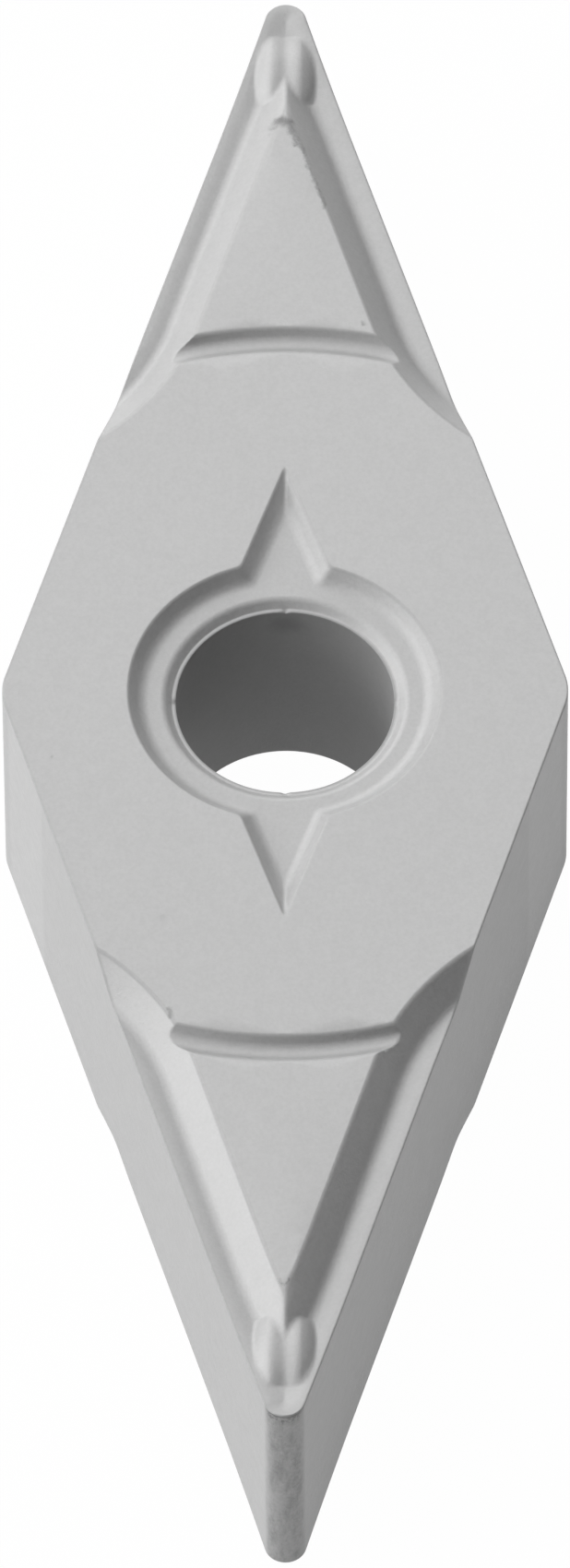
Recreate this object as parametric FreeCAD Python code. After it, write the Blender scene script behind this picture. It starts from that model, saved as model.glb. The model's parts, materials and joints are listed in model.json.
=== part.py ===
import FreeCAD, Part
import math
import os

from FreeCAD import Vector

# A double-sided turning insert of sintered carbide: a 35 degree rhombus with
# upright flanks, a moulded chip breaker along every cutting edge and a bore
# through the middle. Both faces and both points are alike. Millimetres, +Z up,
# long diagonal along Y, origin on the bore axis in the lower seating face.

# Outline in plan
INSCRIBED_D = 9.525        # circle that touches all four flanks
POINT_ANGLE = 35.0         # included angle at the two cutting points, degrees
NOSE_R = 0.37              # corner radius of the cutting points
BLUNT_R = 1.1              # corner radius of the two obtuse corners

# Heights
THICKNESS = 5.03           # between the seating lands of the two faces
CORNER_DROP = 0.185        # cutting corner below the seating land of its face
EDGE_DROP = 0.35           # straight cutting edge below the seating land

# Chip groove, drawn square to the cutting edge
EDGE_LAND_W = 0.12         # narrow land that backs up the cutting edge
EDGE_LAND_ANGLE = 3.0      # its fall inward, degrees
RAKE_ANGLE = 13.0          # fall of the rake face behind it, degrees
VALLEY_R = 0.27            # round bottom of the groove
WALL_ANGLE = 37.5          # rise of the chip wall up to the land, degrees
GROOVE_W = 0.9             # from the cutting edge to the top of the chip wall
RIDGE_R = 0.34             # round of the ridge where two chip walls meet

# Chip groove, along the cutting edge
GROOVE_LENGTH = 6.9        # straight stretch, back from the nose arc
RUNOUT_R = 4.8             # plan radius on which the groove leaves by the flank
RISE_LENGTH = 3.0          # stretch on which the edge climbs to the corner
RISE_STATIONS = 5          # sections that guide the climbing groove

# Chip former behind the nose, a twin-crested hump on the corner's bisector
HUMP_BACK = 1.38           # crown of the hump, back from the nose end
HUMP_HALF_L = 0.6          # half of its crowned stretch
HUMP_END_L = 0.2           # sloping end beyond the crowned stretch, before and behind
HUMP_END_ANGLE = 33.0      # fall of those ends, degrees
HUMP_DROP = 0.08           # crown below the seating land
HUMP_CROSS_R = 0.72        # radius across the bisector
HUMP_LONG_R = 1.9          # radius along the bisector
HUMP_VALLEY_DROP = 0.165   # valley between the two crests, below the land
HUMP_VALLEY_ANGLE = 12.0   # slope of the valley's sides, degrees

# Ring groove that parts the point's island from the seating land
RING_BACK = 7.466          # middle of the ring groove, back from the nose end
RING_W = 0.55              # at the seating land
RING_WALL_ANGLE = 40.0     # fall of its two walls, degrees
RING_BOTTOM_R = 0.26       # round bottom

# Bore and the recess round it
BORE_D = 3.81
RIM_W = 0.075              # level rim at the mouth of the bore
STEP_W = 0.15              # sloping step from the rim up to the recess floor
STEP_H = 0.12
RECESS_DEPTH = 0.25        # recess floor below the seating land
RECESS_D = 5.49            # recess at the seating land
RECESS_WALL_ANGLE = 45.0
RECESS_FILLET_R = 0.3

# Arrow-shaped notches that point from the recess to the cutting points
ARROW_REACH = 2.055        # tip of the arrow beyond the recess
ARROW_HALF_ANGLE = 19.7    # between the arrow's side and the long diagonal, degrees
ARROW_ROOT_BACK = 0.45     # root of the arrow, inside the edge of the recess

OVERCUT = 0.3              # how far cutters stand out of the blank
RUNOUT_OVERTURN = 12.0     # how far the run-out's cutter turns on past the flank, degrees


# Sizes that follow from those above
A = math.radians(POINT_ANGLE / 2)
HALF_W = INSCRIBED_D / 2
NOSE_CENTRE_Y = (HALF_W - NOSE_R) / math.sin(A)
NOSE_END_Y = NOSE_CENTRE_Y + NOSE_R
NOSE_ALONG = (HALF_W - NOSE_R) / math.tan(A)
MID_Z = THICKNESS / 2
BORE_R = BORE_D / 2
RECESS_R = RECESS_D / 2


def slope(degrees):
    return math.tan(math.radians(degrees))


def on_flank(along, inward, z):
    """Point by its distance along one flank and its distance inward from it."""
    out = HALF_W - inward
    return Vector(out * math.cos(A) - along * math.sin(A),
                  out * math.sin(A) + along * math.cos(A), z)


ALONG = on_flank(1, 0, 0) - on_flank(0, 0, 0)


def closed_face(*edges):
    return Part.Face(Part.Wire(list(edges)))


def polygon(points):
    return Part.makePolygon(points + points[:1])


def outline(inset):
    """Rounded rhombus of the blank, inset by a given distance, at z = 0."""
    half = HALF_W - inset
    nose_r = max(NOSE_R - inset, inset / 10)
    blunt_r = max(BLUNT_R - inset, inset / 10)
    nose_c = Vector(0, (half - nose_r) / math.sin(A), 0)
    blunt_c = Vector((half - blunt_r) / math.cos(A), 0, 0)
    normal = Vector(math.cos(A), math.sin(A), 0)
    quarter = [blunt_c + normal * blunt_r, nose_c + normal * nose_r]
    tips = [blunt_c + Vector(blunt_r, 0, 0), nose_c + Vector(0, nose_r, 0)]

    def place(point, sx, sy):
        return Vector(sx * point.x, sy * point.y, 0)

    edges = []
    for sx, sy in ((1, 1), (-1, 1), (-1, -1), (1, -1)):
        edges.append(Part.LineSegment(place(quarter[0], sx, sy), place(quarter[1], sx, sy)))
    for sy in (1, -1):
        edges.append(Part.Arc(place(quarter[1], 1, sy), place(tips[1], 1, sy), place(quarter[1], -1, sy)))
    for sx in (1, -1):
        edges.append(Part.Arc(place(quarter[0], sx, 1), place(tips[0], sx, 1), place(quarter[0], sx, -1)))
    return Part.Wire(Part.__sortEdges__([edge.toShape() for edge in edges]))


def prism(inset):
    return Part.Face(outline(inset)).extrude(Vector(0, 0, THICKNESS))


def edge_drop(along):
    """Cutting edge below the seating land, at a distance along the flank."""
    rise = EDGE_DROP - CORNER_DROP
    rise_r = (RISE_LENGTH ** 2 + rise ** 2) / (2 * rise)
    climb = max(0.0, along - (NOSE_ALONG - RISE_LENGTH))
    return EDGE_DROP - (rise_r - math.sqrt(rise_r ** 2 - climb ** 2))


def groove_section(along):
    """What the chip groove takes away, in the plane square to the flank."""
    drop = edge_drop(along)
    land_fall, rake_fall, wall_rise = slope(EDGE_LAND_ANGLE), slope(RAKE_ANGLE), slope(WALL_ANGLE)
    land_end = drop + EDGE_LAND_W * land_fall
    corner = ((GROOVE_W * wall_rise - land_end + EDGE_LAND_W * rake_fall)
              / (wall_rise + rake_fall))
    turn = math.radians(RAKE_ANGLE + WALL_ANGLE)
    run = VALLEY_R * math.tan(turn / 2)
    rake_tangent = corner - run * math.cos(math.radians(RAKE_ANGLE))
    wall_tangent = corner + run * math.cos(math.radians(WALL_ANGLE))
    centre_n = rake_tangent + VALLEY_R * math.sin(math.radians(RAKE_ANGLE))
    rake_tangent_drop = land_end + (rake_tangent - EDGE_LAND_W) * rake_fall
    bottom_drop = rake_tangent_drop - VALLEY_R * math.cos(math.radians(RAKE_ANGLE)) + VALLEY_R

    def at(inward, below_land):
        return on_flank(along, inward, THICKNESS - below_land)

    outer = at(-OVERCUT, drop - OVERCUT * land_fall)
    land_in = at(EDGE_LAND_W, land_end)
    valley_in = at(rake_tangent, rake_tangent_drop)
    valley_low = at(centre_n, bottom_drop)
    valley_out = at(wall_tangent, (GROOVE_W - wall_tangent) * wall_rise)
    wall_top = at(GROOVE_W + OVERCUT / wall_rise, -OVERCUT)
    outer_top = at(-OVERCUT, -OVERCUT)
    return Part.Wire([
        Part.makeLine(outer, land_in),
        Part.makeLine(land_in, valley_in),
        Part.Arc(valley_in, valley_low, valley_out).toShape(),
        Part.makeLine(valley_out, wall_top),
        Part.makeLine(wall_top, outer_top),
        Part.makeLine(outer_top, outer)])


def groove_cutters():
    """Cutters for one edge of one point: run-out, straight, climb and nose."""
    straight_from = NOSE_ALONG - GROOVE_LENGTH
    rise_from = NOSE_ALONG - RISE_LENGTH
    start = Part.Face(groove_section(straight_from))
    runout_axis = on_flank(straight_from, GROOVE_W - RUNOUT_R, 0)
    leave_angle = math.degrees(math.acos((RUNOUT_R - GROOVE_W - OVERCUT) / RUNOUT_R))
    runout = start.revolve(runout_axis, Vector(0, 0, 1), leave_angle + RUNOUT_OVERTURN)
    straight = start.extrude(ALONG * (rise_from - straight_from))

    step = RISE_LENGTH / (RISE_STATIONS - 1)
    sections = [groove_section(rise_from + i * step) for i in range(RISE_STATIONS)]
    climb = Part.makeLoft(sections, True, False)
    reach = 2 * NOSE_END_Y
    own_side = Part.makeBox(reach, reach, reach, Vector(0, 0, -MID_Z))
    climb = climb.common(own_side)

    outside, top = -2 * OVERCUT, THICKNESS + 2 * OVERCUT
    strip = Part.Face(polygon([on_flank(NOSE_ALONG, inward, z) for inward, z in (
        (outside, 0), (NOSE_R, 0), (NOSE_R, top), (outside, top))]))
    nose_face = Part.Face(groove_section(NOSE_ALONG)).common(strip)
    nose = nose_face.revolve(Vector(0, NOSE_CENTRE_Y, 0), Vector(0, 0, 1), 90 - POINT_ANGLE / 2)
    return [runout, straight, climb, nose]


def ridge_cutter():
    """Rounds the ridge between two chip walls, from the land to under the hump."""
    wall_rise = slope(WALL_ANGLE)
    fall = wall_rise * math.sin(A)
    apex = Vector(0, (HALF_W - GROOVE_W) / math.sin(A), THICKNESS)
    down_ridge = Vector(0, 1, -fall).normalize()
    off_ridge = Vector(0, fall, 1).normalize()
    side_angle = math.atan(wall_rise * math.cos(A) / math.hypot(1, fall))
    half_w = RIDGE_R * math.sin(side_angle)
    start = apex - down_ridge * (half_w / math.tan(A) + OVERCUT)
    length = (NOSE_END_Y - HUMP_BACK - start.y) / down_ridge.y

    def at(x, above):
        return start + Vector(x, 0, 0) + off_ridge * above

    tangent = -half_w * math.tan(side_angle)
    crest = RIDGE_R - RIDGE_R / math.cos(side_angle)
    section = closed_face(
        Part.Arc(at(-half_w, tangent), at(0, crest), at(half_w, tangent)).toShape(),
        Part.makeLine(at(half_w, tangent), at(half_w, OVERCUT)),
        Part.makeLine(at(half_w, OVERCUT), at(-half_w, OVERCUT)),
        Part.makeLine(at(-half_w, OVERCUT), at(-half_w, tangent)))
    return section.extrude(down_ridge * length)


def hump():
    """Twin-crested hump behind one nose: a barrel, and a valley bent to the same long radius."""
    crown_y = NOSE_END_Y - HUMP_BACK
    axis_z = THICKNESS - HUMP_DROP - HUMP_CROSS_R
    sag = HUMP_LONG_R - math.sqrt(HUMP_LONG_R ** 2 - HUMP_HALF_L ** 2)
    shoulder_r = HUMP_CROSS_R - sag
    end_r = shoulder_r - HUMP_END_L * slope(HUMP_END_ANGLE)
    half_l = HUMP_HALF_L + HUMP_END_L

    def at(from_crown, radius):
        return Vector(0, crown_y + from_crown, axis_z + radius)

    half_section = closed_face(
        Part.makeLine(at(-half_l, 0), at(-half_l, end_r)),
        Part.makeLine(at(-half_l, end_r), at(-HUMP_HALF_L, shoulder_r)),
        Part.Arc(at(-HUMP_HALF_L, shoulder_r), at(0, HUMP_CROSS_R), at(HUMP_HALF_L, shoulder_r)).toShape(),
        Part.makeLine(at(HUMP_HALF_L, shoulder_r), at(half_l, end_r)),
        Part.makeLine(at(half_l, end_r), at(half_l, 0)),
        Part.makeLine(at(half_l, 0), at(-half_l, 0)))
    barrel = half_section.revolve(at(0, 0), Vector(0, 1, 0), 360)
    barrel = barrel.common(prism(EDGE_LAND_W))
    half_w = HUMP_CROSS_R
    side_rise = half_w * slope(HUMP_VALLEY_ANGLE)
    low = Vector(0, crown_y, THICKNESS - HUMP_VALLEY_DROP)
    wedge = Part.Face(polygon([
        low, low + Vector(half_w, 0, side_rise), low + Vector(half_w, 0, side_rise + half_w),
        low + Vector(-half_w, 0, side_rise + half_w), low + Vector(-half_w, 0, side_rise)]))
    bend_centre = Vector(0, crown_y, THICKNESS - HUMP_DROP - HUMP_LONG_R)
    turn = math.degrees(math.asin(half_l / HUMP_LONG_R))
    wedge.rotate(bend_centre, Vector(1, 0, 0), -turn)
    wedge = wedge.revolve(bend_centre, Vector(1, 0, 0), 2 * turn)
    return barrel.cut(wedge)


def ring_cutter():
    """Ring groove with straight walls and a round bottom, concentric with the bore."""
    middle = NOSE_END_Y - RING_BACK
    half = RING_W / 2
    fall = slope(RING_WALL_ANGLE)
    half_turn = math.radians(RING_WALL_ANGLE)
    tangent = RING_BOTTOM_R * math.sin(half_turn)
    tangent_drop = (half - tangent) * fall
    bottom_drop = tangent_drop + RING_BOTTOM_R * (1 - math.cos(half_turn))
    top = half + OVERCUT / fall

    def at(off, below_land):
        return Vector(middle + off, 0, THICKNESS - below_land)

    section = closed_face(
        Part.makeLine(at(-top, -OVERCUT), at(-tangent, tangent_drop)),
        Part.Arc(at(-tangent, tangent_drop), at(0, bottom_drop), at(tangent, tangent_drop)).toShape(),
        Part.makeLine(at(tangent, tangent_drop), at(top, -OVERCUT)),
        Part.makeLine(at(top, -OVERCUT), at(-top, -OVERCUT)))
    return section.revolve(Vector(0, 0, 0), Vector(0, 0, 1), 360)


def recess_cutter():
    """Dished recess round the mouth of the bore, with its rim and step."""
    fall = slope(RECESS_WALL_ANGLE)
    corner = RECESS_R - RECESS_DEPTH / fall
    half_turn = math.radians(RECESS_WALL_ANGLE / 2)
    fillet_r = min(RECESS_FILLET_R, 0.9 * RECESS_DEPTH / math.sin(2 * half_turn) / math.tan(half_turn))
    run = fillet_r * math.tan(half_turn)
    floor_end = corner - run
    wall_start = corner + run * math.cos(2 * half_turn)

    def at(radius, below_land):
        return Vector(radius, 0, THICKNESS - below_land)

    arc_mid = at(floor_end + fillet_r * math.sin(half_turn),
                 RECESS_DEPTH - fillet_r * (1 - math.cos(half_turn)))
    floor = at(floor_end, RECESS_DEPTH)
    wall = at(wall_start, (RECESS_R - wall_start) * fall)
    axis_low = at(0, RECESS_DEPTH + STEP_H)
    rim = at(BORE_R + RIM_W, RECESS_DEPTH + STEP_H)
    step = at(BORE_R + RIM_W + STEP_W, RECESS_DEPTH)
    top = at(RECESS_R + OVERCUT / fall, -OVERCUT)
    axis_top = at(0, -OVERCUT)
    section = closed_face(
        Part.makeLine(axis_low, rim), Part.makeLine(rim, step), Part.makeLine(step, floor),
        Part.Arc(floor, arc_mid, wall).toShape(), Part.makeLine(wall, top),
        Part.makeLine(top, axis_top), Part.makeLine(axis_top, axis_low))
    return section.revolve(Vector(0, 0, 0), Vector(0, 0, 1), 360)


def arrow_cutter():
    """Arrow notch towards +Y, its floor level with the recess floor."""
    half_angle = math.radians(ARROW_HALF_ANGLE)
    wall_run = 1 / slope(RECESS_WALL_ANGLE)
    root_y = RECESS_R - ARROW_ROOT_BACK

    def triangle(below_land):
        tip_y = RECESS_R + ARROW_REACH - below_land * wall_run / math.sin(half_angle)
        half_root = (tip_y - root_y) * math.tan(half_angle)
        z = THICKNESS - below_land
        return polygon([Vector(0, tip_y, z), Vector(-half_root, root_y, z), Vector(half_root, root_y, z)])

    return Part.makeLoft([triangle(RECESS_DEPTH), triangle(-OVERCUT)], True, True)


def both_points(shapes):
    return shapes + [shape.mirror(Vector(0, 0, 0), Vector(0, 1, 0)) for shape in shapes]


def both_sides(shapes):
    return shapes + [shape.mirror(Vector(0, 0, 0), Vector(1, 0, 0)) for shape in shapes]


def both_faces(shapes):
    return shapes + [shape.mirror(Vector(0, 0, MID_Z), Vector(0, 0, 1)) for shape in shapes]


def insert():
    blank = prism(0)
    grooves = both_faces(both_points(both_sides(groove_cutters())))
    ridges = both_faces(both_points([ridge_cutter()]))
    body = blank.cut(grooves).cut(ridges)
    body = body.fuse(both_faces(both_points([hump()])))
    faces = [ring_cutter(), recess_cutter()] + both_points([arrow_cutter()])
    bore = Part.makeCylinder(BORE_R, THICKNESS)
    body = body.cut(both_faces(faces) + [bore])
    return body.removeSplitter()


def report(name, shape):
    box = shape.BoundBox
    print(name, "solids", len(shape.Solids), "valid", shape.isValid(), "faces", len(shape.Faces),
          "volume %.2f" % shape.Volume,
          "size %.3f %.3f %.3f" % (box.XLength, box.YLength, box.ZLength))


os.makedirs("parts", exist_ok=True)
carbide_insert = insert()
report("carbide_insert", carbide_insert)
carbide_insert.exportStep("parts/carbide_insert.step")
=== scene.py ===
import json
import math
from types import SimpleNamespace

import bpy
import numpy as np
from mathutils import Matrix, Vector
from mathutils.geometry import delaunay_2d_cdt

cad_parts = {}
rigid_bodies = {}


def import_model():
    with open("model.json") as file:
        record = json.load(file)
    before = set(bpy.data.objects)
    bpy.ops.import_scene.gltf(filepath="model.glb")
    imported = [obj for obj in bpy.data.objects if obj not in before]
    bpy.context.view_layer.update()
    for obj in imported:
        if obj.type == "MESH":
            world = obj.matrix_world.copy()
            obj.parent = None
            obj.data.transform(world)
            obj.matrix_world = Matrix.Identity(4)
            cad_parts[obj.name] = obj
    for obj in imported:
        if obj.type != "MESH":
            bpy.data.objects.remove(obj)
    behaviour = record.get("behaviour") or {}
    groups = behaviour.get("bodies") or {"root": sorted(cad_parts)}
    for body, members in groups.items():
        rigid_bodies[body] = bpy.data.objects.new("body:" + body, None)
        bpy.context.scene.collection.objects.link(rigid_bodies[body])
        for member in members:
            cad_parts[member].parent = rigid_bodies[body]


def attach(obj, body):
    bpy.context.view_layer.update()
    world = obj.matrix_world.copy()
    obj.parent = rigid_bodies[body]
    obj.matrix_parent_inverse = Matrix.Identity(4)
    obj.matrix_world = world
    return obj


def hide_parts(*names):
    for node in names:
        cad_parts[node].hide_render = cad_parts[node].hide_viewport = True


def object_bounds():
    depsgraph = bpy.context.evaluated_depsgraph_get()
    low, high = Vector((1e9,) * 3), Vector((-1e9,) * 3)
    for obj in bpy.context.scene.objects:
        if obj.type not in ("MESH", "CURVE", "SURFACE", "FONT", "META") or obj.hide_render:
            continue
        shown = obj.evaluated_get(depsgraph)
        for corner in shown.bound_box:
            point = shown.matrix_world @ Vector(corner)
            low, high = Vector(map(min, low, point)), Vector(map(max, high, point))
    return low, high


for leftover in list(bpy.data.objects):
    bpy.data.objects.remove(leftover)
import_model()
cad_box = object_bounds()

# The insert's body is modelled again here as one fine mesh, with the soft blends of a pressed and sintered
# part. Lengths are millimetres until the mesh is made. The drop of a point is its depth below the land.
MM = 0.001
THICKNESS = (cad_box[1].z - cad_box[0].z) / MM

# Outline
HALF_W = 9.525 / 2         # radius of the circle that touches the flanks
HALF_ANGLE = math.radians(35.0 / 2)
NOSE_R = 0.37
BLUNT_R = 1.1
HONE_R = 0.03              # rounding of the cutting edge

# Chip groove
CORNER_DROP = 0.185
EDGE_DROP = 0.35
EDGE_LAND_W = 0.12
EDGE_LAND_SLOPE = math.tan(math.radians(3.0))
RAKE_SLOPE = math.tan(math.radians(13.0))
WALL_SLOPE = math.tan(math.radians(37.5))
VALLEY_SOFT = 0.112
GROOVE_W = 0.955
CAD_GROOVE_W = 0.9         # the run-out's radius is measured from this wall, as in the solid
GROOVE_LENGTH = 6.9
RUNOUT_R = 4.8
RISE_LENGTH = 3.0

# Ridge where two walls or two rakes meet, rounded twice as much before it narrows
RIDGE_SOFT = 0.05
RIDGE_NARROWS = 12.25, 12.9
RIDGE_FADE = 0.3           # it ends over this length, ahead of the nose

# Hump behind the nose
HUMP_BACK = 1.38
HUMP_DROP = 0.08
HUMP_CROSS_R = 0.72
HUMP_CROSS_REACH = 0.98    # share of that radius over which the barrel curves
HUMP_LONG_R = 1.9
HUMP_HALF_L = 0.6
HUMP_END_BEND = 2.0
HUMP_CREST_SOFT = 0.045
HUMP_VALLEY_DROP = 0.165
HUMP_VALLEY_SLOPE = math.tan(math.radians(12.0))
HUMP_VALLEY_SOFT = 0.06
HUMP_SOFT = 0.065

# Ring groove, recess, arrows and bore
RING_R = 7.511
RING_W = 0.55
RING_WALL_SLOPE = math.tan(math.radians(40.0))
RING_BOTTOM_R = 0.26
BORE_R = 3.81 / 2
BORE_EDGE_R = 0.02
RIM_R = 1.98
STEP_R = 2.13
STEP_SLOPE = 0.8
STEP_SOFT = 0.05
RECESS_R = 5.49 / 2
RECESS_DEPTH = 0.25
RECESS_WALL_SLOPE = math.tan(math.radians(45.0))
RECESS_SOFT = 0.11
ARROW_TIP_Y = RECESS_R + 2.055
ARROW_ANGLE = math.radians(19.7)
ARROW_TIP_SOFT = 0.05
ARROW_ROOT_SOFT = 0.08
EDGE_SOFT = 0.012
LAND_SOFT = 0.03           # rounding between the land and its groove walls
RECESS_EDGE_SOFT = 0.055
RING_EDGE_SOFT = 0.016
NICK_R = 0.06              # nicks on the mouth of the bore, on both axes
NICK_DEPTH = 0.04

# Follows from those above
FLANK_COS, FLANK_SIN = math.cos(HALF_ANGLE), math.sin(HALF_ANGLE)
NOSE_CENTRE_Y = (HALF_W - NOSE_R) / FLANK_SIN
NOSE_END_Y = NOSE_CENTRE_Y + NOSE_R
NOSE_ALONG = (HALF_W - NOSE_R) / math.tan(HALF_ANGLE)
BLUNT_CENTRE_X = (HALF_W - BLUNT_R) / FLANK_COS
BLUNT_ALONG = -BLUNT_CENTRE_X * FLANK_SIN
STRAIGHT_FROM = NOSE_ALONG - GROOVE_LENGTH
RISE_FROM = NOSE_ALONG - RISE_LENGTH
RUNOUT_OUT = RUNOUT_R - CAD_GROOVE_W

# Tolerances
ON_LINE = 1e-5
BESIDE = 1e-3
BORE_SAG = 4e-4            # a chord of the bore lies no further in than this
EMPTY_AREA = 3e-5


def smooth_min(a, b, width):
    """The lesser of a and b, rounded off where they are less than the width apart."""
    near = np.maximum(width - np.abs(a - b), 0) / width
    return np.minimum(a, b) - near * near * width / 4


def smooth_max(a, b, width):
    return -smooth_min(-a, -b, width)


def smooth_step(low, high, value):
    t = np.clip((value - low) / (high - low), 0, 1)
    return t * t * (3 - 2 * t)


def soft_abs(x, half_w):
    """x without its sign, rounded off within half_w of zero."""
    size = np.abs(x)
    return np.where(size < half_w, x * x / (2 * half_w) + half_w / 2, size)


def flank_coordinates(x, y):
    """Distance along the flank and distance inward from it."""
    return y * FLANK_COS - x * FLANK_SIN, HALF_W - x * FLANK_COS - y * FLANK_SIN


def from_flank(along, inward):
    out = HALF_W - inward
    return np.stack([out * FLANK_COS - along * FLANK_SIN, out * FLANK_SIN + along * FLANK_COS], -1)


def inset(x, y):
    """Distance inward from the rounded outline."""
    along, inward = flank_coordinates(x, y)
    inward = np.where(along > NOSE_ALONG, NOSE_R - np.hypot(x, y - NOSE_CENTRE_Y), inward)
    return np.where(along < BLUNT_ALONG, BLUNT_R - np.hypot(x - BLUNT_CENTRE_X, y), inward)


def edge_drop(along):
    """Drop of the cutting edge, which climbs to the corner on a large arc."""
    rise = EDGE_DROP - CORNER_DROP
    rise_r = (RISE_LENGTH ** 2 + rise ** 2) / (2 * rise)
    climb = np.clip(along - RISE_FROM, 0, RISE_LENGTH)
    return EDGE_DROP - rise_r + np.sqrt(rise_r ** 2 - climb ** 2)


def groove_distance(x, y):
    """Distance from the line of the cutting edge, which leaves by the flank at the run-out."""
    softened = np.hypot(x, RIDGE_SOFT * (2 - smooth_step(*RIDGE_NARROWS, y)))
    x = softened + (np.abs(x) - softened) * smooth_step(NOSE_CENTRE_Y - RIDGE_FADE, NOSE_CENTRE_Y, y)
    along, inward = flank_coordinates(x, y)
    at_nose = NOSE_R - np.hypot(x, y - NOSE_CENTRE_Y)
    at_runout = np.hypot(along - STRAIGHT_FROM, inward + RUNOUT_OUT) - RUNOUT_OUT
    distance = np.where(along > NOSE_ALONG, at_nose, inward)
    return along, np.where(along < STRAIGHT_FROM, at_runout, distance)


def groove_drop(x, y):
    along, distance = groove_distance(x, y)
    edge = edge_drop(along)
    land = edge + distance * EDGE_LAND_SLOPE
    rake = edge + EDGE_LAND_W * EDGE_LAND_SLOPE + (distance - EDGE_LAND_W) * RAKE_SLOPE
    wall = (GROOVE_W - distance) * WALL_SLOPE
    return smooth_min(smooth_max(land, rake, EDGE_SOFT), wall, VALLEY_SOFT)


def hump_drop(x, y):
    """Twin-crested hump: a barrel along the bisector, with a valley bent to the same long radius."""
    from_crown = np.abs(y - (NOSE_END_Y - HUMP_BACK))
    across = np.minimum(np.abs(x), HUMP_CROSS_REACH * HUMP_CROSS_R)
    barrel = HUMP_DROP + HUMP_CROSS_R - np.sqrt(HUMP_CROSS_R ** 2 - across ** 2)
    valley = HUMP_VALLEY_DROP - soft_abs(x, HUMP_VALLEY_SOFT) * HUMP_VALLEY_SLOPE
    beyond = np.maximum(from_crown - HUMP_HALF_L, 0)
    fall = from_crown ** 2 / (2 * HUMP_LONG_R) + HUMP_END_BEND * beyond ** 2
    return smooth_max(barrel, valley, HUMP_CREST_SOFT) + fall


def recess_distance(x, y):
    """Distance inward from the edge of the recess and its arrow."""
    side = (ARROW_TIP_Y - y) * math.sin(ARROW_ANGLE) - soft_abs(x, ARROW_TIP_SOFT) * math.cos(ARROW_ANGLE)
    return smooth_max(RECESS_R - np.hypot(x, y), side, ARROW_ROOT_SOFT)


def recess_drop(x, y):
    """Recess with a flat floor and a small step down to the rim of the bore."""
    wall = recess_distance(x, y) * RECESS_WALL_SLOPE
    dish = smooth_min(wall, np.full_like(wall, RECESS_DEPTH), RECESS_SOFT)
    radius = np.hypot(x, y)
    step = smooth_max((STEP_R - radius) * STEP_SLOPE, np.zeros_like(radius), STEP_SOFT)
    return dish + smooth_min(step, np.full_like(step, (STEP_R - RIM_R) * STEP_SLOPE), EDGE_SOFT)


def ring_drop(x, y):
    """Ring groove, with straight walls tangent to its round bottom."""
    off = np.abs(np.hypot(x, y) - RING_R)
    wall = (RING_W / 2 - off) * RING_WALL_SLOPE
    steepness = math.hypot(1, RING_WALL_SLOPE)
    tangent = RING_BOTTOM_R * RING_WALL_SLOPE / steepness
    centre_drop = (RING_W / 2 - tangent) * RING_WALL_SLOPE - RING_BOTTOM_R / steepness
    bottom = centre_drop + np.sqrt(RING_BOTTOM_R ** 2 - np.minimum(off, tangent) ** 2)
    return np.where(off < tangent, bottom, wall)


def edge_round(distance, radius):
    """Fall of a rounded edge at a distance from its end."""
    left = np.clip(radius - distance, 0, radius)
    return radius - np.sqrt(radius ** 2 - left ** 2)


def nick_drop(x, y):
    """Small nicks where the axes cross the mouth of the bore."""
    off = np.minimum(np.hypot(x - BORE_R, y), np.hypot(x, y - BORE_R))
    return NICK_DEPTH * np.exp(-(off / NICK_R) ** 2)


def face_drop(x, y):
    """Drop of the whole upper face, for a quarter with x and y above zero."""
    drop = smooth_min(groove_drop(x, y), hump_drop(x, y), HUMP_SOFT)
    drop = smooth_max(drop, ring_drop(x, y), RING_EDGE_SOFT)
    drop = smooth_max(drop, recess_drop(x, y), RECESS_EDGE_SOFT)
    drop = smooth_max(drop, np.zeros_like(drop), LAND_SOFT)
    drop = drop + nick_drop(x, y)
    return drop + edge_round(inset(x, y), HONE_R) + edge_round(np.hypot(x, y) - BORE_R, BORE_EDGE_R)


def face_normals(x, y):
    step = 0.0004
    fall_x = (face_drop(x + step, y) - face_drop(x - step, y)) / (2 * step)
    fall_y = (face_drop(x, y + step) - face_drop(x, y - step)) / (2 * step)
    normals = np.stack([fall_x, fall_y, np.ones_like(x)], -1)
    return normals / np.linalg.norm(normals, axis=1, keepdims=True)


def quarter_normals(points):
    """Normals of the upper face, level on the outline and on the mouth of the bore."""
    x, y = points[:, 0], points[:, 1]
    normals = face_normals(x, y)
    step = 0.0001
    out_x = inset(x - step, y) - inset(x + step, y)
    out_y = inset(x, y - step) - inset(x, y + step)
    out = np.stack([out_x, out_y, np.zeros_like(x)], -1)
    out /= np.maximum(np.linalg.norm(out, axis=1, keepdims=True), 1e-9)
    into_bore = np.stack([-x, -y, np.zeros_like(x)], -1) / np.hypot(x, y)[:, None]
    on_outline = inset(x, y) < BESIDE
    on_bore = np.hypot(x, y) < BORE_R + BESIDE
    normals[on_outline] = out[on_outline]
    normals[on_bore] = into_bore[on_bore]
    normals[x == 0, 0] = 0
    normals[y == 0, 1] = 0
    return normals / np.linalg.norm(normals, axis=1, keepdims=True)


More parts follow.
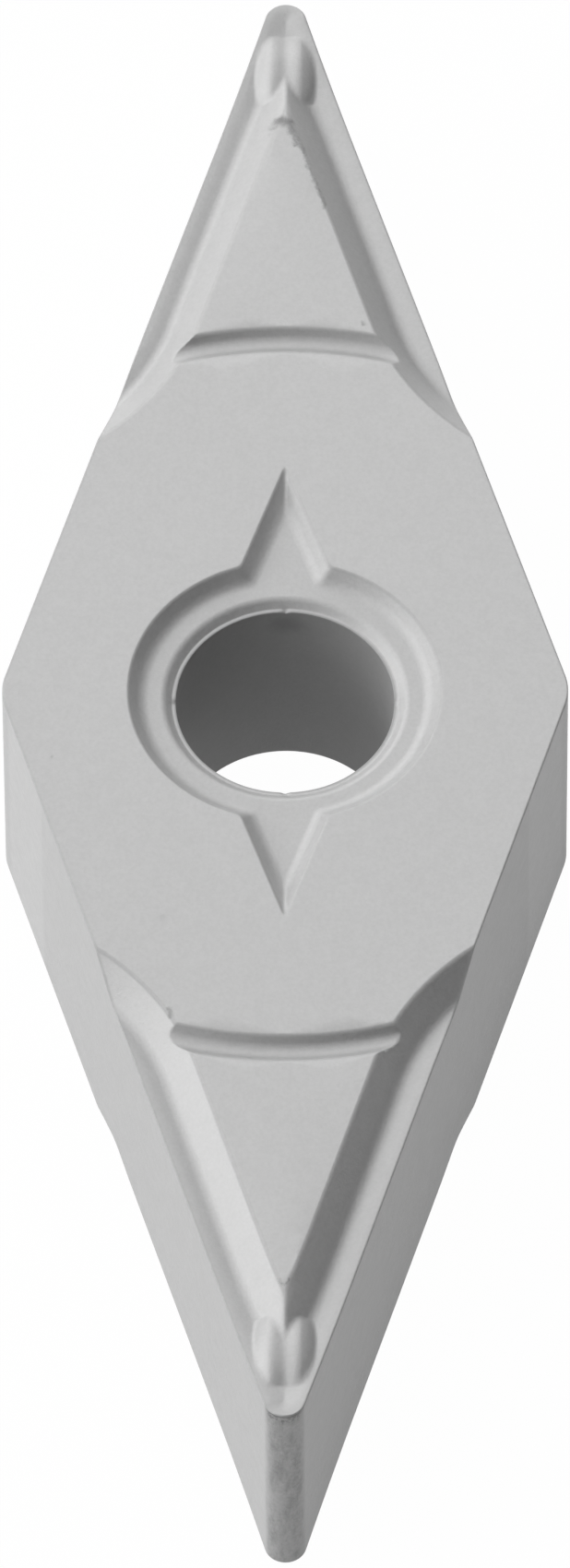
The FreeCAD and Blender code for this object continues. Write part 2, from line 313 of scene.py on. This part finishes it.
# Plan of the quarter: curves that follow each edge and blend, at these distances from it
HONE_LINES = 0.1, 0.35, 0.65, 1.0      # shares of the hone
GROOVE_LINES = (0.09, 0.12, 0.15, 0.24, 0.33, 0.4, 0.45, 0.5, 0.55, 0.6, 0.65, 0.8, 0.914, 0.935, 0.955,
                0.975, 0.996)
RECESS_LINES = -0.055, -0.028, 0, 0.028, 0.055, 0.1, 0.14, 0.18, 0.22, 0.26, 0.3, 0.36
RING_LINES = 0.04, 0.08, 0.12, 0.167, 0.22, 0.256, 0.265, 0.275, 0.285, 0.296
MOUTH_LINES = 0, 0.002, 0.007, 0.013, 0.02
RIM_LINES = -0.015, 0, 0.015
STEP_LINES = -0.063, -0.03, 0, 0.03, 0.063
RIDGE_LINE_X = 0.2, 0.15, 0.11, 0.08, 0.055, 0.035, 0.017, 0
RIDGE_CLEAR = 0.21         # a groove line is straight as far as this from the bisector
RIDGE_WIDE_FROM = 0.8      # groove lines beyond this cross the wide part of the ridge
ARROW_SIDE_FROM = 2.3
RING_MARGIN = 0.03
NICK_ANGLE = 0.08
TURN_STEP = 0.03
TURN_FROM = 3.6            # along the flank, where the groove starts to turn out
BISECTOR_FINE_FROM = 12.3
HUMP_GRID_X = 0.03, 0.66, 0.045        # first, last and step
HUMP_GRID_Y = 12.7, 14.5, 0.05
HUMP_GRID_INSET = 0.2

# Points on each curved line
BLUNT_POINTS = 9
NOSE_POINTS = 17
GROOVE_NOSE_POINTS = 13
RECESS_POINTS = 48
RECESS_HALVINGS = 40
RING_POINTS = 90
NICK_POINTS = 9
MOUTH_POINTS = 45

# Refining: a side is halved where the face bends more than this and the side is long enough
REFINE_ROUNDS = 2
MOST_BEND = math.radians(7)
LEAST_SIDE = 0.05
REFINE_INSET = 0.04
REFINE_OFF_AXIS = 0.01
REFINE_OFF_BORE = 0.03


def steps(low, high, size):
    count = max(1, round((high - low) / size))
    return np.linspace(low, high, count + 1)


def along_stations():
    """Stations along the flank, closer together where the groove turns or climbs."""
    parts = [steps(BLUNT_ALONG, TURN_FROM, 0.6), steps(TURN_FROM, STRAIGHT_FROM, 0.12),
             steps(STRAIGHT_FROM, RISE_FROM, 0.3), steps(RISE_FROM, NOSE_ALONG, 0.1)]
    return np.unique(np.concatenate(parts).round(9))


def arc(centre, radius, start, end, count):
    angle = np.linspace(start, end, count)
    return np.stack([centre[0] + radius * np.cos(angle), centre[1] + radius * np.sin(angle)], -1)


def outline_curve(inward):
    """The outline of the quarter, from the obtuse corner to the cutting point, set in."""
    blunt = arc((BLUNT_CENTRE_X, 0), BLUNT_R - inward, 0, HALF_ANGLE, BLUNT_POINTS)
    nose = arc((0, NOSE_CENTRE_Y), NOSE_R - inward, HALF_ANGLE, math.pi / 2, NOSE_POINTS)
    stations = along_stations()[1:-1]
    return np.concatenate([blunt, from_flank(stations, np.full_like(stations, inward)), nose])


def groove_curve(distance):
    """Line at one distance from the cutting edge, from the run-out to the bisector or round the nose."""
    reach = distance + RUNOUT_OUT
    leave = math.acos(min(1.0, RUNOUT_OUT / reach))
    turn = np.linspace(leave, 0, max(2, round(leave / TURN_STEP)))[:-1]
    runout = from_flank(STRAIGHT_FROM - reach * np.sin(turn), reach * np.cos(turn) - RUNOUT_OUT)
    stations = along_stations()
    stations = stations[stations >= STRAIGHT_FROM - ON_LINE]
    straight = from_flank(stations, np.full_like(stations, distance))
    if distance < NOSE_R:
        nose = arc((0, NOSE_CENTRE_Y), NOSE_R - distance, HALF_ANGLE, math.pi / 2, GROOVE_NOSE_POINTS)
        return np.concatenate([runout, straight[:-1], nose])
    x = np.array(RIDGE_LINE_X)
    soft = RIDGE_SOFT * (2 if distance > RIDGE_WIDE_FROM else 1)
    y = (HALF_W - distance - np.hypot(x, soft) * FLANK_COS) / FLANK_SIN
    straight = straight[straight[:, 0] > RIDGE_CLEAR]
    return np.concatenate([runout, straight, np.stack([x, y], -1)])


def recess_curve(distance):
    """Level line of the recess and its arrow, found outward from the bore axis."""
    side = steps(ARROW_SIDE_FROM, ARROW_TIP_Y, 0.06)
    side_angle = np.arctan2(side, (ARROW_TIP_Y - side) * math.tan(ARROW_ANGLE))
    angle = np.unique(np.concatenate([np.linspace(0, side_angle[0], RECESS_POINTS), side_angle]).round(9))
    low, high = np.full_like(angle, BORE_R), np.full_like(angle, ARROW_TIP_Y + 1)
    for _ in range(RECESS_HALVINGS):
        middle = (low + high) / 2
        inside = recess_distance(middle * np.cos(angle), middle * np.sin(angle)) > distance
        low, high = np.where(inside, middle, low), np.where(inside, high, middle)
    return np.stack([low * np.cos(angle), low * np.sin(angle)], -1)


def ring_curve(radius):
    """Circle of the ring groove, as far as the chip wall leaves it."""
    points = arc((0, 0), radius, math.pi / 2, math.pi / 3, RING_POINTS)
    kept = groove_drop(points[:, 0], points[:, 1]) < ring_drop(points[:, 0], points[:, 1]) + RING_MARGIN
    return points[kept]


def level_arc(radius):
    """Quarter circle about the bore axis, with closer points at the nicks on its ends."""
    near = np.linspace(0, NICK_ANGLE, NICK_POINTS)
    between = np.linspace(NICK_ANGLE, math.pi / 2 - NICK_ANGLE, MOUTH_POINTS)[1:-1]
    angle = np.concatenate([near, between, (math.pi / 2 - near)[::-1]])
    return np.stack([radius * np.cos(angle), radius * np.sin(angle)], -1)


def axis_curves():
    """The two edges of the quarter along the axes."""
    coarse, fine = steps(BORE_R, BISECTOR_FINE_FROM, 0.2), steps(BISECTOR_FINE_FROM, NOSE_END_Y, 0.04)
    up = np.concatenate([coarse, fine[1:]])
    across = steps(BORE_R, BLUNT_CENTRE_X + BLUNT_R, 0.3)
    return [np.stack([np.zeros_like(up), up], -1), np.stack([across, np.zeros_like(across)], -1)]


def plan_curves():
    curves = [outline_curve(0)]
    curves += [outline_curve(HONE_R * share) for share in HONE_LINES]
    curves += [groove_curve(distance) for distance in GROOVE_LINES]
    curves += [recess_curve(distance) for distance in RECESS_LINES]
    curves.append(ring_curve(RING_R))
    for off in RING_LINES:
        curves += [ring_curve(RING_R + off), ring_curve(RING_R - off)]
    for radius, lines in ((BORE_R, MOUTH_LINES), (RIM_R, RIM_LINES), (STEP_R, STEP_LINES)):
        curves += [level_arc(radius + off) for off in lines]
    return curves + axis_curves()


def hump_points():
    x, y = np.meshgrid(steps(*HUMP_GRID_X), steps(*HUMP_GRID_Y))
    points = np.stack([x.ravel(), y.ravel()], -1)
    return points[inset(points[:, 0], points[:, 1]) > HUMP_GRID_INSET]


def triangulate(points, edges):
    """Points, kept edges and triangles of the quarter, with those across the bore left out."""
    found = delaunay_2d_cdt([Vector(p) for p in points], edges, [], 1, 1e-6, True)
    points, triangles = np.array([tuple(p) for p in found[0]]), np.array(found[2])
    kept = [edge for edge, sources in zip(found[1], found[4]) if sources]
    middles = points[triangles].mean(1)
    return points, kept, triangles[np.hypot(middles[:, 0], middles[:, 1]) > BORE_R - BORE_SAG]


def bent_middles(points, triangles):
    """Midpoints of the sides along which the surface turns too far."""
    normals = face_normals(points[:, 0], points[:, 1])
    sides = np.concatenate([triangles[:, [0, 1]], triangles[:, [1, 2]], triangles[:, [2, 0]]])
    sides = np.unique(np.sort(sides, 1), axis=0)
    a, b = points[sides[:, 0]], points[sides[:, 1]]
    bend = np.einsum("ij,ij->i", normals[sides[:, 0]], normals[sides[:, 1]])
    middle = (a + b) / 2
    wanted = (bend < math.cos(MOST_BEND)) & (np.linalg.norm(a - b, axis=1) > LEAST_SIDE)
    wanted &= inset(middle[:, 0], middle[:, 1]) > REFINE_INSET
    wanted &= (middle > REFINE_OFF_AXIS).all(axis=1)
    wanted &= np.hypot(middle[:, 0], middle[:, 1]) > BORE_R + REFINE_OFF_BORE
    return middle[wanted]


def quarter_plan():
    points, edges = [], []
    for curve in plan_curves():
        first = len(points)
        points += [tuple(p) for p in curve]
        edges += [(i, i + 1) for i in range(first, first + len(curve) - 1)]
    points += [tuple(p) for p in hump_points()]
    points, edges, triangles = triangulate(points, edges)
    for _ in range(REFINE_ROUNDS):
        more = bent_middles(points, triangles)
        points, edges, triangles = triangulate(list(map(tuple, points)) + list(map(tuple, more)), edges)
    return points, triangles


def clean_quarter():
    """Plan of the quarter with all triangles turned up, and without the empty ones along its edges."""
    points, triangles = quarter_plan()
    points[np.abs(points) < ON_LINE] = 0
    a, b, c = points[triangles].transpose(1, 0, 2)
    turned = np.cross(b - a, c - a)
    triangles[turned < 0] = triangles[turned < 0][:, ::-1]
    rims = points[:, 0] == 0, points[:, 1] == 0, np.abs(inset(points[:, 0], points[:, 1])) < ON_LINE
    along_rim = np.any([rim[triangles].all(axis=1) for rim in rims], axis=0)
    return points, triangles[~(along_rim & (np.abs(turned) < EMPTY_AREA))]


def upper_face():
    """Places, normals and triangles of the upper face, from the quarter and its mirror images."""
    points, triangles = clean_quarter()
    heights = THICKNESS - face_drop(points[:, 0], points[:, 1])
    normals = quarter_normals(points)
    places, directions, faces = [], [], []
    for sx, sy in ((1, 1), (-1, 1), (-1, -1), (1, -1)):
        first = sum(map(len, places))
        places.append(np.column_stack([points * (sx, sy), heights]))
        directions.append(normals * (sx, sy, 1))
        faces.append(triangles[:, ::sx * sy] + first)
    places, directions, faces = map(np.concatenate, (places, directions, faces))
    places[:, 0] = np.clip(places[:, 0], cad_box[0].x / MM, cad_box[1].x / MM)
    _, kept, renamed = np.unique(places.round(6) + 0.0, axis=0, return_index=True, return_inverse=True)
    faces = renamed.ravel()[faces]
    whole = (faces[:, 0] != faces[:, 1]) & (faces[:, 1] != faces[:, 2]) & (faces[:, 2] != faces[:, 0])
    return places[kept], directions[kept], faces[whole]


def whole_body():
    """Vertices in millimetres, their normals and the faces of the closed body."""
    places, directions, faces = upper_face()
    count = len(places)
    sides = {(a, b) for face in faces.tolist() for a, b in zip(face, face[1:] + face[:1])}
    walls = [(b, a, a + count, b + count) for a, b in sides if (b, a) not in sides]
    below = places * (1, 1, -1) + (0, 0, THICKNESS)
    below[:, 2] -= nick_drop(np.abs(places[:, 0]), np.abs(places[:, 1]))
    faces = faces.tolist() + (faces[:, ::-1] + count).tolist() + sorted(walls)
    return np.concatenate([places, below]), np.concatenate([directions, directions * (1, 1, -1)]), faces


def make_insert(material):
    places, normals, faces = whole_body()
    mesh = bpy.data.meshes.new("insert_body")
    mesh.from_pydata((places * MM).tolist(), [], faces)
    mesh.polygons.foreach_set("use_smooth", [True] * len(mesh.polygons))
    mesh.normals_split_custom_set_from_vertices(normals.tolist())
    mesh.materials.append(material)
    body = bpy.data.objects.new("insert_body", mesh)
    bpy.context.scene.collection.objects.link(body)
    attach(body, "root")
    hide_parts("carbide_insert")


# Material: ground lands and flanks and sintered grooves, with painted shade in the hollows, bore, nose band
# and on edges, and painted light on the flanks and recess
BASE_LEVEL = 0.5
METALLIC = 0.55
FLANK_METALLIC = 0.25
ROUGHNESS = 0.47
FLANK_ROUGHNESS = 0.55
EDGE_ROUGHNESS = 0.12      # added on the land's edges
BORE_ROUGHNESS = 0.12
GRAIN_ROUGHNESS = 0.04
BUMP_HEIGHT = 0.006
GRAIN_SCALE = 13.0         # per millimetre
MOTTLE_SCALE = 3.5
STREAK_SCALE = 9.0
TORN_SCALE = 5.0
TORN_SHIFT = 0.26          # range in millimetres over which a mark's edge wanders
NOISE_LOW, NOISE_HIGH = 0.3, 0.7
# Painted shade in the bore
PAINTED_BORE_SHADE = 0.76
# Painted shade on the band down the nose
PAINTED_NOSE_SHADE = 0.84
# Painted light on the flanks
PAINTED_FLANK_LIGHT = 1.04
# Painted shade on all that lies below the land: the grooves, the recess and the bore
PAINTED_HOLLOW_SHADE = 0.96
# Painted light in the recess
PAINTED_DISH_LIGHT = 1.07
DISH_R = 4.83
DISH_DULL = 0.55
PAINTED_EDGE_SHADE = 0.06          # painted shade, taken off on the land's edges
# Painted shade along the rim of the outline
PAINTED_RIM_SHADE = 0.05
NOSE_BAND_Y = NOSE_CENTRE_Y + 0.1
TOP_Z = THICKNESS
NOSE_EDGE_Z = THICKNESS - CORNER_DROP

# Marks on the body, two of them painted shade: start, end, reach and shade of each, in millimetres
MARKS = [
    ((-0.31, 12.0, TOP_Z), (-0.26, 12.2, TOP_Z), 0.08, 0.6),
    ((-0.26, 12.2, TOP_Z), (-0.17, 12.32, TOP_Z), 0.13, 0.42),
    ((-0.17, 12.32, TOP_Z), (0.04, 12.24, TOP_Z), 0.15, 0.46),
    ((0.04, 12.24, TOP_Z), (0.13, 12.0, TOP_Z), 0.1, 0.5),
    ((0.13, 12.0, TOP_Z), (0.21, 11.76, TOP_Z), 0.08, 0.52),
    # Painted shade along the right edge of the island near the far nose
    ((0.26, 11.75, TOP_Z), (0.7, 10.38, TOP_Z), 0.05, 0.68),
    ((-0.13, -12.3, TOP_Z), (0.02, -12.4, TOP_Z), 0.05, 0.62),
    ((0.02, -12.4, TOP_Z), (0.06, -12.28, TOP_Z), 0.05, 0.62),
    ((-2.01, -6.7, TOP_Z), (-1.96, -6.87, TOP_Z), 0.07, 0.68),
    ((1.358, 7.872, TOP_Z), (1.37, 7.84, TOP_Z), 0.05, 0.65),
    ((-2.128, -4.79, TOP_Z), (-2.1, -4.8, TOP_Z), 0.08, 0.93),
    ((-4.07, -1.43, TOP_Z), (-4.06, -1.42, TOP_Z), 0.04, 0.8),
    # Painted shade in the bore, under its far nick
    ((-0.05, 1.9, 4.32), (0.1, 1.9, 4.28), 0.34, 0.8),
]
SPECK_AT = (0.578, -11.178, TOP_Z - 0.08)
SPECK_SHADE = 1.15


def new_material(name):
    material = bpy.data.materials.new(name)
    material.use_nodes = True
    return material, material.node_tree.nodes, material.node_tree.links


class Graph:
    """Adds nodes whose inputs are given as values or as sockets to link."""

    def __init__(self, nodes, links):
        self.nodes, self.links = nodes, links

    def feed(self, socket, value):
        if isinstance(value, bpy.types.NodeSocket):
            self.links.new(value, socket)
        else:
            socket.default_value = value

    def math(self, operation, *values):
        node = self.nodes.new("ShaderNodeMath")
        node.operation = operation
        for socket, value in zip(node.inputs, values):
            self.feed(socket, value)
        return node.outputs[0]

    def vector(self, operation, first, second=None):
        node = self.nodes.new("ShaderNodeVectorMath")
        node.operation = operation
        self.feed(node.inputs[0], first)
        if operation == "SCALE":
            self.feed(node.inputs["Scale"], second)
        elif second is not None:
            self.feed(node.inputs[1], second)
        return node.outputs["Value"] if operation in ("LENGTH", "DOT_PRODUCT") else node.outputs[0]

    def split(self, value):
        node = self.nodes.new("ShaderNodeSeparateXYZ")
        self.feed(node.inputs[0], value)
        return node.outputs

    def noise(self, place, scale, detail, roughness):
        node = self.nodes.new("ShaderNodeTexNoise")
        self.feed(node.inputs["Vector"], place)
        self.feed(node.inputs["Scale"], scale)
        self.feed(node.inputs["Detail"], detail)
        self.feed(node.inputs["Roughness"], roughness)
        return node.outputs

    def ramp(self, value, low, high, from_value, to_value):
        """Goes smoothly from one value to the other as the input passes from low to high."""
        node = self.nodes.new("ShaderNodeMapRange")
        node.interpolation_type = "SMOOTHSTEP"
        for socket, given in zip(node.inputs, (value, low, high, from_value, to_value)):
            self.feed(socket, given)
        return node.outputs[0]

    def spread(self, noise, from_value, to_value):
        """The range over which a noise varies, taken to the given values."""
        return self.ramp(noise, NOISE_LOW, NOISE_HIGH, from_value, to_value)

    def shade(self, mask, shade):
        """One where the mask is zero, and the shade where it is one."""
        return self.ramp(mask, 0.0, 1.0, 1.0, shade)

    def near_segment(self, place, start, end, reach, shade):
        """The shade along a short segment, and one away from it."""
        span = Vector(end) - Vector(start)
        offset = self.vector("SUBTRACT", place, start)
        share = self.math("MULTIPLY", self.vector("DOT_PRODUCT", offset, span), 1 / span.length ** 2)
        share.node.use_clamp = True
        apart = self.vector("SUBTRACT", offset, self.vector("SCALE", span, share))
        return self.ramp(self.vector("LENGTH", apart), 0.0, reach * 1.2, shade, 1.0)


def read_surface(graph):
    """Place on the body in millimetres, the noises, and masks for each kind of surface."""
    source = graph.nodes.new("ShaderNodeTexCoord").outputs
    at = SimpleNamespace(place=graph.vector("SCALE", source["Object"], 1 / MM))
    x, y, at.z = graph.split(at.place)
    x, y = graph.math("ABSOLUTE", x), graph.math("ABSOLUTE", y)
    upward = graph.math("ABSOLUTE", graph.split(source["Normal"])[2])

    # Noises, and the place shifted by one of them so that marks have ragged edges
    at.grain = graph.noise(at.place, GRAIN_SCALE, 4.0, 0.65)[0]
    at.mottle = graph.noise(at.place, MOTTLE_SCALE, 4.0, 0.6)[0]
    at.streak = graph.noise(graph.vector("MULTIPLY", at.place, (1.0, 0.06, 1.0)), STREAK_SCALE, 3.0, 0.6)[0]
    at.upright = graph.noise(graph.vector("MULTIPLY", at.place, (1.0, 1.0, 0.3)), TORN_SCALE, 5.0, 0.75)[0]
    torn = graph.noise(at.place, TORN_SCALE, 6.0, 0.75)["Color"]
    shift = graph.vector("SCALE", graph.vector("SUBTRACT", torn, (0.5, 0.5, 0.5)), TORN_SHIFT)
    at.ragged = graph.vector("ADD", at.place, shift)

    # Masks
    top = THICKNESS / 2
    off_middle = graph.math("ABSOLUTE", graph.math("SUBTRACT", at.z, top))
    radius = graph.vector("LENGTH", graph.vector("MULTIPLY", at.place, (1.0, 1.0, 0.0)))
    at.land = graph.ramp(off_middle, top - 0.03, top - 0.006, 0.0, 1.0)
    at.steep = graph.ramp(upward, 0.15, 0.4, 1.0, 0.0)
    at.bore = graph.ramp(radius, BORE_R + 0.01, BORE_R + 0.06, 1.0, 0.0)
    at.flank = graph.math("MULTIPLY", at.steep, graph.math("SUBTRACT", 1.0, at.bore))
    at.nose = graph.math("MULTIPLY", graph.ramp(y, NOSE_BAND_Y, NOSE_BAND_Y + 0.2, 0.0, 1.0), at.flank)
    high = graph.ramp(off_middle, top - 0.05, top - 0.02, 0.0, 1.0)
    # Edges of the land, where painted shade is laid and the surface is duller
    at.worn = graph.math("MULTIPLY", graph.ramp(upward, 0.97, 0.995, 1.0, 0.0), high)
    out = graph.math("ADD", graph.math("MULTIPLY", x, FLANK_COS), graph.math("MULTIPLY", y, FLANK_SIN))
    rim = graph.ramp(out, HALF_W - 0.05, HALF_W - 0.025, 0.0, 1.0)
    at.rim = graph.math("MULTIPLY", rim, graph.math("SUBTRACT", 1.0, at.flank))
    inner = graph.ramp(radius, DISH_R, DISH_R + 0.07, 1.0, 0.0)
    at.dish = graph.math("MULTIPLY", inner, graph.math("SUBTRACT", 1.0, at.land))
    return at


def nose_shade(graph, at):
    """Painted shade down the band of the nose, mottled, with pits and a darker strip close under the
    cutting edge.
    """
    shade_and_blotch = graph.ramp(at.upright, 0.32, 0.6, PAINTED_NOSE_SHADE - 0.2, PAINTED_NOSE_SHADE + 0.04)
    shade_and_blotch = graph.math("ADD", shade_and_blotch, graph.ramp(at.grain, 0.35, 0.65, -0.03, 0.03))
    height = graph.math("ADD", at.z, graph.spread(at.grain, -0.05, 0.05))
    under_edge = graph.ramp(height, NOSE_EDGE_Z - 0.32, NOSE_EDGE_Z - 0.04, 0.0, 1.0)
    at_edge = graph.ramp(height, NOSE_EDGE_Z - 0.13, NOSE_EDGE_Z - 0.05, 0.0, 0.4)
    pits = graph.math("MULTIPLY", graph.ramp(at.grain, 0.48, 0.56, 0.0, 0.4), under_edge)
    shade_and_blotch = graph.math("SUBTRACT", shade_and_blotch, graph.math("MAXIMUM", pits, at_edge))
    return graph.math("ADD", 1.0, graph.math("MULTIPLY", at.nose, graph.math("SUBTRACT", shade_and_blotch, 1.0)))


def mark_shade(graph, at):
    """Marks left by grinding and handling, painted shade along an edge of the island and in the bore, and
    one bright speck.
    """
    from_speck = graph.vector("LENGTH", graph.vector("SUBTRACT", at.ragged, SPECK_AT))
    shade = graph.ramp(from_speck, 0.015, 0.045, SPECK_SHADE, 1.0)
    for mark in MARKS:
        shade = graph.math("MINIMUM", shade, graph.near_segment(at.ragged, *mark))
    return shade


def grey_level(graph, at):
    """One plain level, with grain, mottle and marks, and painted shade and light by surface, on edges and
    in some marks.
    """
    level = graph.spread(at.grain, 0.96, 1.04)
    level = graph.math("MULTIPLY", level, graph.spread(at.mottle, 0.988, 1.012))
    # Painted shade in the hollows below the land
    level = graph.math("MULTIPLY", level, graph.ramp(at.land, 0.0, 1.0, PAINTED_HOLLOW_SHADE, 1.0))
    # Painted light on the flanks, over the painted shade of the hollows
    level = graph.math("MULTIPLY", level, graph.shade(at.flank, PAINTED_FLANK_LIGHT / PAINTED_HOLLOW_SHADE))
    # Painted shade in the bore
    level = graph.math("MULTIPLY", level, graph.shade(at.bore, PAINTED_BORE_SHADE))
    # Painted shade and mottle on the band down the nose
    level = graph.math("MULTIPLY", level, nose_shade(graph, at))
    lines = graph.spread(at.streak, -0.02, 0.02)
    level = graph.math("ADD", level, graph.math("MULTIPLY", lines, at.flank))
    # Painted shade on the land's edges
    level = graph.math("SUBTRACT", level, graph.math("MULTIPLY", at.worn, PAINTED_EDGE_SHADE))
    # Painted shade along the rim of the outline
    level = graph.math("SUBTRACT", level, graph.math("MULTIPLY", at.rim, PAINTED_RIM_SHADE))
    # Painted light in the recess
    level = graph.math("MULTIPLY", level, graph.shade(at.dish, PAINTED_DISH_LIGHT))
    level = graph.math("MULTIPLY", level, mark_shade(graph, at))
    return graph.math("MULTIPLY", level, BASE_LEVEL)


def metallic_level(graph, at):
    """Least metallic on the flanks and the land's edges, and between the two in the recess."""
    dull = graph.math("MULTIPLY", at.dish, DISH_DULL)
    for mask in (at.steep, at.rim, at.worn):
        dull = graph.math("MAXIMUM", dull, mask)
    return graph.ramp(dull, 0.0, 1.0, METALLIC, FLANK_METALLIC)


def roughness_level(graph, at):
    """Ground faces smoother than sintered ones, the land's edges and the bore dullest."""
    rough = graph.ramp(at.land, 0.0, 1.0, ROUGHNESS + 0.03, ROUGHNESS - 0.02)
    rough = graph.math("ADD", rough, graph.math("MULTIPLY", at.steep, FLANK_ROUGHNESS - ROUGHNESS))
    rough = graph.math("ADD", rough, graph.math("MULTIPLY", at.bore, BORE_ROUGHNESS))
    rough = graph.math("ADD", rough, graph.spread(at.grain, -GRAIN_ROUGHNESS, GRAIN_ROUGHNESS))
    worn = graph.math("MAXIMUM", at.worn, at.rim)
    return graph.math("ADD", rough, graph.math("MULTIPLY", worn, EDGE_ROUGHNESS))


def surface_bump(graph, at):
    """Fine grain, weaker on the lands, with the grinding lines of the flanks."""
    bump = graph.nodes.new("ShaderNodeBump")
    bump.inputs["Distance"].default_value = BUMP_HEIGHT * MM
    graph.feed(bump.inputs["Strength"], graph.ramp(at.land, 0.0, 1.0, 1.0, 0.6))
    lines = graph.math("MULTIPLY", at.streak, at.flank)
    graph.feed(bump.inputs["Height"], graph.math("ADD", at.grain, lines))
    return bump.outputs[0]


def carbide_material():
    material, nodes, links = new_material("sintered_carbide")
    shader = nodes["Principled BSDF"]
    graph = Graph(nodes, links)
    at = read_surface(graph)
    grey = grey_level(graph, at)
    colour = nodes.new("ShaderNodeCombineColor")
    for socket in colour.inputs:
        links.new(grey, socket)
    links.new(colour.outputs[0], shader.inputs["Base Color"])
    links.new(metallic_level(graph, at), shader.inputs["Metallic"])
    links.new(roughness_level(graph, at), shader.inputs["Roughness"])
    links.new(surface_bump(graph, at), shader.inputs["Normal"])
    return material


def floor_material():
    """Pale floor that the camera, gloss and glass see as white, with the shadow kept faint."""
    material, nodes, links = new_material("white_floor")
    shader = nodes["Principled BSDF"]
    shader.inputs["Base Color"].default_value = (*[FLOOR_LEVEL] * 3, 1)
    shader.inputs["Roughness"].default_value = FLOOR_ROUGHNESS
    white = nodes.new("ShaderNodeEmission")
    white.inputs["Strength"].default_value = 1.0
    graph = Graph(nodes, links)
    path = nodes.new("ShaderNodeLightPath").outputs
    seen = path["Is Camera Ray"]
    for ray in ("Is Glossy Ray", "Is Transmission Ray"):
        seen = graph.math("MAXIMUM", seen, path[ray])
    mix = nodes.new("ShaderNodeMixShader")
    links.new(graph.math("MULTIPLY", seen, FLOOR_WHITE), mix.inputs[0])
    links.new(shader.outputs[0], mix.inputs[1])
    links.new(white.outputs[0], mix.inputs[2])
    links.new(mix.outputs[0], nodes["Material Output"].inputs["Surface"])
    return material


# Stage, in metres
FLOOR_SIZE = 8.0
FLOOR_LEVEL = 0.8
FLOOR_ROUGHNESS = 0.9
FLOOR_WHITE = 0.985        # share of plain white in what the camera sees
WORLD_STRENGTH = 0.005

# Lamps: azimuth from +X towards +Y and elevation in degrees, size in metres, power in watts
LAMP_DISTANCE = 0.25
LAMPS = {
    "left_low": (180, 15, 0.24, 0.24),
    "left_high": (180, 45, 0.26, 0.115),
    "left_front": (225, 45, 0.3, 0.155),
    "left_back_low": (135, 15, 0.26, 0.19),
    "left_back_high": (135, 45, 0.32, 0.168),
    "back_low": (90, 15, 0.26, 0.23),
    "top": (90, 75, 0.32, 0.159),
    "right_back": (45, 45, 0.3, 0.119),
}

# Camera, in millimetres and radians. It was solved from the outline, the lands and the bore in the
# photograph, then set nearer, with its other values fitted again, so that other views aren't clipped.
PHOTO_W, PHOTO_H = 618, 1700
CAMERA_ELEVATION = 0.96958
CAMERA_DISTANCE = 420.0
CAMERA_TURN = -0.00605
CAMERA_ROLL = 0.00653
CAMERA_OFF_RIGHT = 0.01069
CAMERA_OFF_UP = 0.21782
PIXELS_PER_MM = 61.829
SENSOR_MM = 36.0


def make_floor():
    half = FLOOR_SIZE / 2
    corners = [(-half, -half, 0), (half, -half, 0), (half, half, 0), (-half, half, 0)]
    mesh = bpy.data.meshes.new("floor")
    mesh.from_pydata(corners, [], [(0, 1, 2, 3)])
    mesh.materials.append(floor_material())
    floor = bpy.data.objects.new("floor", mesh)
    bpy.context.scene.collection.objects.link(floor)


def make_world():
    world = bpy.data.worlds.new("studio")
    world.use_nodes = True
    background = world.node_tree.nodes["Background"]
    background.inputs["Color"].default_value = (1, 1, 1, 1)
    background.inputs["Strength"].default_value = WORLD_STRENGTH
    bpy.context.scene.world = world


def make_lamps():
    for name, (azimuth, elevation, size, power) in LAMPS.items():
        data = bpy.data.lights.new(name, "AREA")
        data.shape = "DISK"
        data.size = size
        data.energy = power
        lamp = bpy.data.objects.new(name, data)
        lamp.visible_camera = False
        flat, rise = math.radians(azimuth), math.radians(elevation)
        toward = Vector((math.cos(flat) * math.cos(rise), math.sin(flat) * math.cos(rise), math.sin(rise)))
        lamp.location = toward * LAMP_DISTANCE
        lamp.rotation_mode = "QUATERNION"
        lamp.rotation_quaternion = toward.to_track_quat("Z", "Y")
        bpy.context.scene.collection.objects.link(lamp)


def make_camera():
    turn, roll = CAMERA_TURN, CAMERA_ROLL
    across = Vector((math.cos(turn), -math.sin(turn), 0))
    ahead = Vector((math.sin(turn), math.cos(turn), 0))
    upright = ahead * math.sin(CAMERA_ELEVATION) + Vector((0, 0, math.cos(CAMERA_ELEVATION)))
    back = Vector((0, 0, math.sin(CAMERA_ELEVATION))) - ahead * math.cos(CAMERA_ELEVATION)
    right = across * math.cos(roll) - upright * math.sin(roll)
    up = across * math.sin(roll) + upright * math.cos(roll)
    middle = Vector((0, 0, THICKNESS / 2))
    place = middle + back * CAMERA_DISTANCE - right * CAMERA_OFF_RIGHT - up * CAMERA_OFF_UP
    data = bpy.data.cameras.new("camera")
    data.sensor_width = SENSOR_MM
    data.lens = SENSOR_MM * PIXELS_PER_MM * CAMERA_DISTANCE / max(PHOTO_W, PHOTO_H)
    data.clip_start, data.clip_end = 0.05, 5
    camera = bpy.data.objects.new("camera", data)
    axes = Matrix((right, up, back)).transposed().to_4x4()
    camera.matrix_world = Matrix.Translation(place * MM) @ axes
    bpy.context.scene.collection.objects.link(camera)
    bpy.context.scene.camera = camera


bpy.context.scene.view_settings.view_transform = "Standard"
make_insert(carbide_material())
make_floor()
make_world()
make_lamps()
make_camera()
